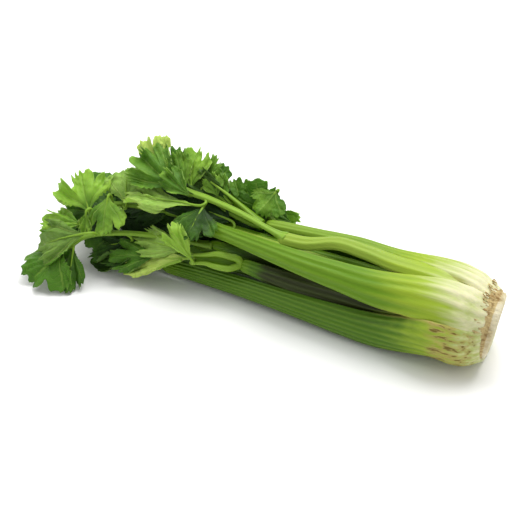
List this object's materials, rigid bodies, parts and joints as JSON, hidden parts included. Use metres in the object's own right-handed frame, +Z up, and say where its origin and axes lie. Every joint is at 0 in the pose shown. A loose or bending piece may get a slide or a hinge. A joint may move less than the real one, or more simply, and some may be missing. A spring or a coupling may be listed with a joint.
{
  "type": "head of celery",
  "caption": "Whole head of celery lying on its side: crescent stalks nested round a pale heart on a cut crown, with thin leaf stems ending in lobed leaves.",
  "frame": {"origin": "middle of the bounding box, at the surface the head lies on", "axes": "+X runs along the head from the leaves to the cut crown, +Y to the rear, +Z up"},
  "size_m": [0.4004, 0.166, 0.104],
  "materials": {
    "crown": "dry cream cut base with a brown fibrous rim",
    "stalk": "waxy ribbed green stalk, cream at the base",
    "heart_stalk": "waxy pale yellow-green inner stalk",
    "stem": "waxy green leaf stem",
    "leaf": "glossy veined green leaf, paler underneath"
  },
  "bodies": {
    "root": {"crown": "crown", "stalk_front_low": "stalk", "stalk_front_high": "stalk", "stalk_rear_high": "stalk", "stalk_rear_low": "stalk", "stalk_under_rear": "stalk", "stalk_top": "stalk", "stalk_front_inner": "stalk", "stalk_under_front": "stalk", "stalk_rear_inner": "stalk", "stalk_low_inner": "stalk", "heart_stalk_1": "heart_stalk", "heart_stalk_2": "heart_stalk", "heart_stalk_3": "heart_stalk", "sheath_front": "stem", "sheath_rear": "stem", "stem_top": "stem", "stem_rear": "stem", "stem_inner": "stem", "stem_front": "stem", "stem_back": "stem", "stem_low": "stem", "leaf_top_crest": "leaf", "leaf_top_left": "leaf", "leaf_top_pale": "leaf", "leaf_top_mid": "leaf", "leaf_top_high": "leaf", "leaf_top_right": "leaf", "leaf_top_curl": "leaf", "leaf_top_tip": "leaf", "leaf_rear_tips": "leaf", "leaf_rear_crest": "leaf", "leaf_rear_fold": "leaf", "leaf_rear_right": "leaf", "leaf_centre_drape": "leaf", "leaf_centre_light": "leaf", "leaf_left_crest": "leaf", "leaf_left_pale": "leaf", "leaf_left_fold": "leaf", "leaf_left_drop": "leaf", "leaf_fold_dark": "leaf", "leaf_droop_pale": "leaf", "leaf_droop_left": "leaf", "leaf_droop_right": "leaf", "leaf_front_veined": "leaf", "leaf_front_dark": "leaf", "leaf_front_rim": "leaf", "leaf_front_under": "leaf", "leaf_back_high": "leaf", "leaf_back_mid": "leaf", "leaf_back_left": "leaf", "leaf_back_low": "leaf", "leaf_back_right": "leaf", "leaf_low_left": "leaf", "leaf_low_front": "leaf", "leaf_inner_back": "leaf", "leaf_inner_left": "leaf", "leaf_inner_low": "leaf", "leaf_inner_high": "leaf"}
  },
  "joints": []
}
